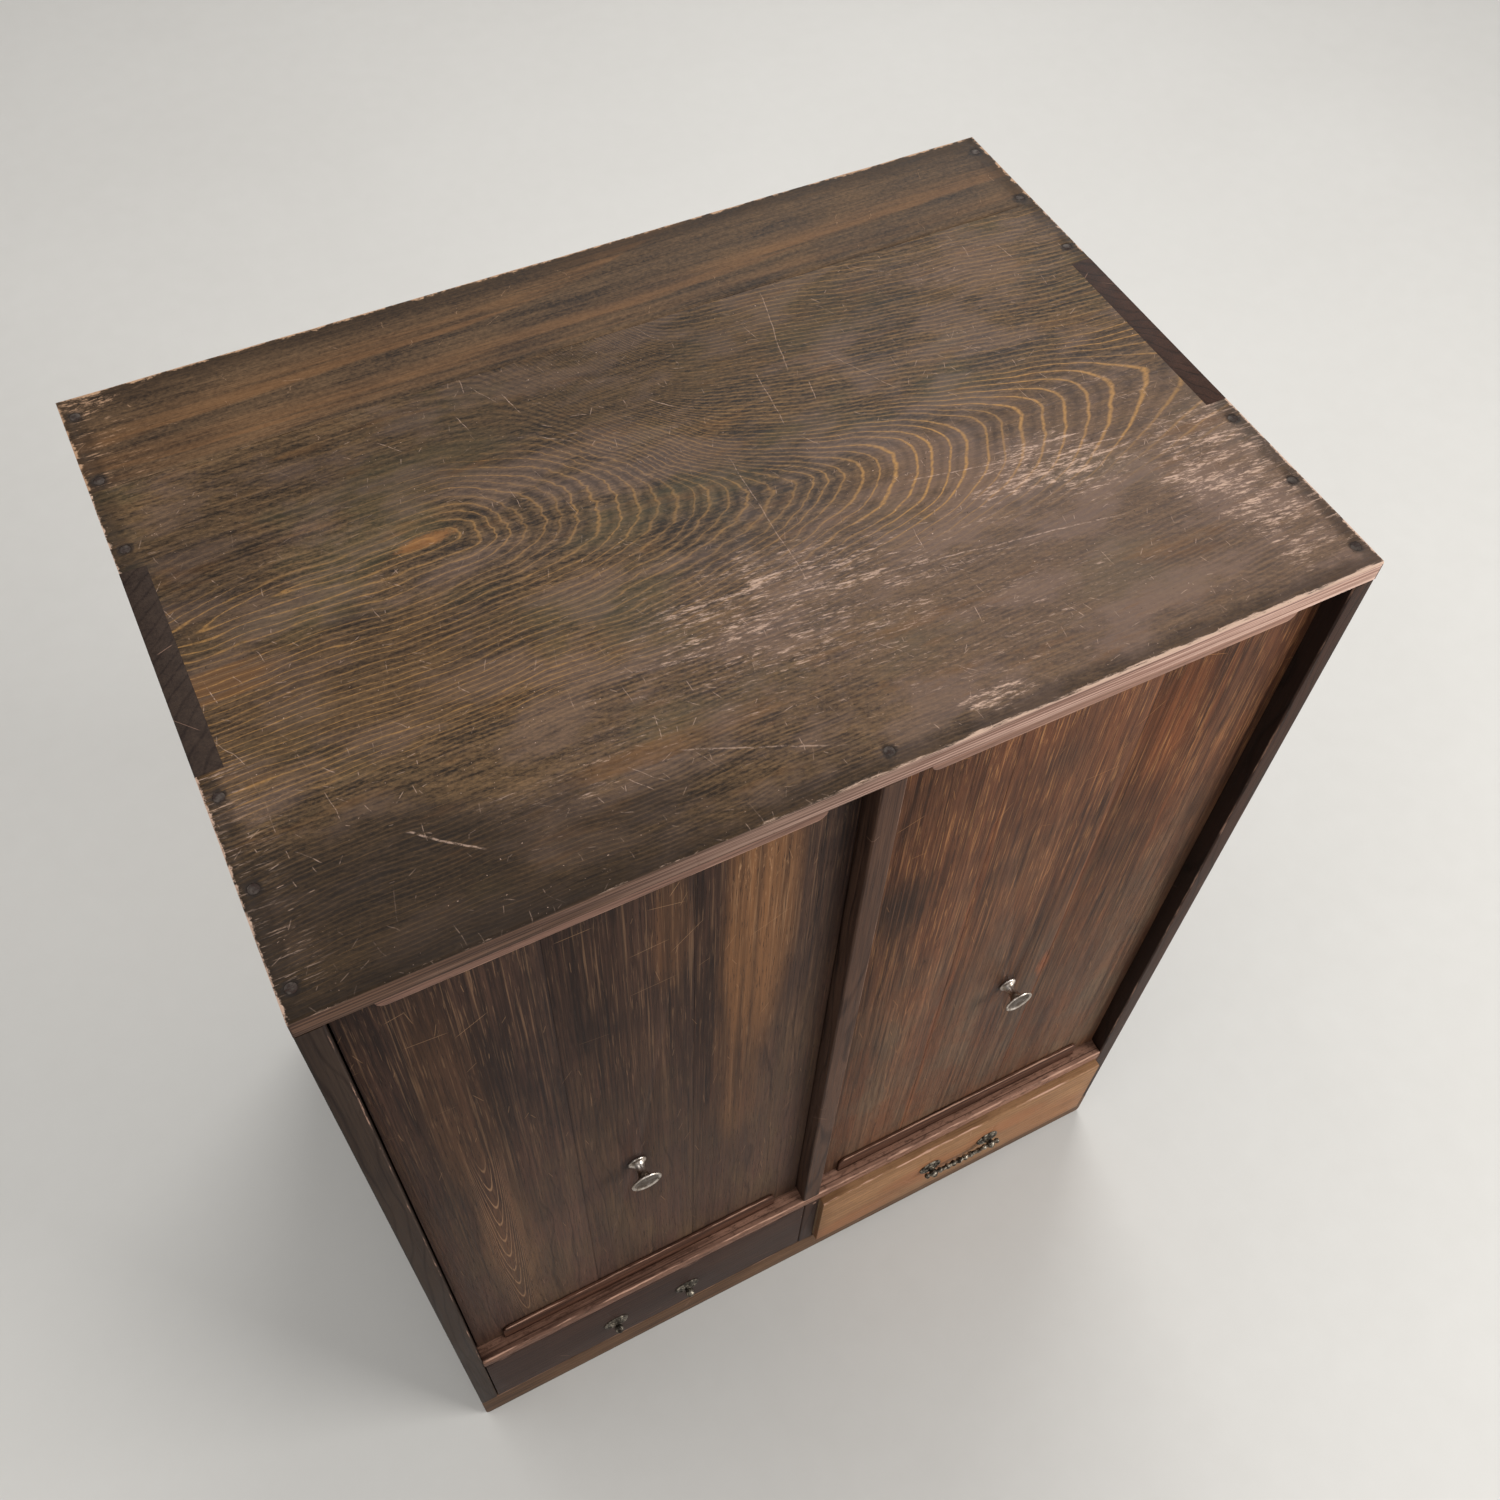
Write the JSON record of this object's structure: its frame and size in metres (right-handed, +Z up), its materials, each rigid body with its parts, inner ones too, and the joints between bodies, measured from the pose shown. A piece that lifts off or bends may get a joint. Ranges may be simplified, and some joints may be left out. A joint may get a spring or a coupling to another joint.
{
  "type": "low plank cabinet",
  "caption": "Low wooden cabinet with lift-out plank doors and turned knobs over side-by-side drawers with bail pulls.",
  "frame": {"origin": "middle of the bounding box at the floor, with the right drawer and its bail as they stand out", "axes": "+X to the right of someone facing the doors, +Y from the doors to the back, +Z up"},
  "size_m": [0.606, 0.4364, 0.788],
  "materials": {
    "top_wood": "dark oiled softwood, worn and scratched",
    "top_back_wood": "dark oiled softwood with wide orange-brown stripes",
    "side_wood": "dark stained softwood, purple-brown",
    "sill_wood": "dark stained softwood, rubbed paler on its edge",
    "rail_wood": "dark stained softwood",
    "post_wood": "dark stained softwood with rubbed edges",
    "strip_wood": "dark stained softwood",
    "left_door_wood": "dark stained softwood boards",
    "right_door_wood": "reddish stained softwood boards",
    "left_drawer_wood": "dark stained softwood",
    "right_drawer_wood": "faded tan softwood",
    "plank_wood": "bare aged softwood",
    "inner_wood": "bare aged softwood",
    "old_iron": "rusted dark iron",
    "knob_metal": "aged nickel, brown in its hollows",
    "pull_metal": "dark bronze with pale rubbed high spots"
  },
  "bodies": {
    "case": {"top_front_board": "top_wood", "top_back_board": "top_back_wood", "left_side": "side_wood", "right_side": "side_wood", "sill_board": "sill_wood", "bottom_board": "inner_wood", "base_rail": "rail_wood", "centre_post": "post_wood", "drawer_divider": "post_wood", "upper_left_strip": "strip_wood", "upper_right_strip": "strip_wood", "lower_left_strip": "strip_wood", "lower_right_strip": "strip_wood", "upper_rear_stop": "inner_wood", "lower_rear_stop": "inner_wood", "drawer_stops": "inner_wood", "back_plank_1": "plank_wood", "back_plank_2": "plank_wood", "back_plank_3": "plank_wood", "back_plank_4": "plank_wood", "top_nails": "old_iron", "back_nails": "old_iron"},
    "left_door": {"left_door_board_1": "left_door_wood", "left_door_board_2": "left_door_wood", "left_door_board_3": "left_door_wood", "left_door_upper_batten": "inner_wood", "left_door_lower_batten": "inner_wood", "left_knob": "knob_metal"},
    "right_door": {"right_door_board_1": "right_door_wood", "right_door_board_2": "right_door_wood", "right_door_board_3": "right_door_wood", "right_door_upper_batten": "inner_wood", "right_door_lower_batten": "inner_wood", "right_knob": "knob_metal"},
    "left_drawer": {"left_drawer_front": "left_drawer_wood", "left_drawer_left_side": "inner_wood", "left_drawer_right_side": "inner_wood", "left_drawer_back": "inner_wood", "left_drawer_bottom": "inner_wood", "left_rosettes": "pull_metal", "left_eye_posts": "pull_metal", "left_post_nuts": "pull_metal"},
    "right_drawer": {"right_drawer_front": "right_drawer_wood", "right_drawer_left_side": "inner_wood", "right_drawer_right_side": "inner_wood", "right_drawer_back": "inner_wood", "right_drawer_bottom": "inner_wood", "right_rosettes": "pull_metal", "right_eye_posts": "pull_metal", "right_post_nuts": "pull_metal"},
    "right_bail": {"right_bail": "pull_metal"}
  },
  "joints": [
    {"name": "left_door_lift", "type": "slide", "parent": "case", "child": "left_door", "axis": [0, 0, 1], "range_m": [0, 0.0205]},
    {"name": "right_door_lift", "type": "slide", "parent": "case", "child": "right_door", "axis": [0, 0, 1], "range_m": [0, 0.0205]},
    {"name": "left_drawer_slide", "type": "slide", "parent": "case", "child": "left_drawer", "axis": [0, -1, 0], "range_m": [0, 0.3]},
    {"name": "right_drawer_slide", "type": "slide", "parent": "case", "child": "right_drawer", "axis": [0, -1, 0], "range_m": [-0.006, 0.3]},
    {"name": "right_bail_swing", "type": "hinge", "parent": "right_drawer", "child": "right_bail", "pos_m": [0.1489, -0.21435, 0.089], "axis": [-1, 0, 0], "range_deg": [-3, 207]}
  ]
}
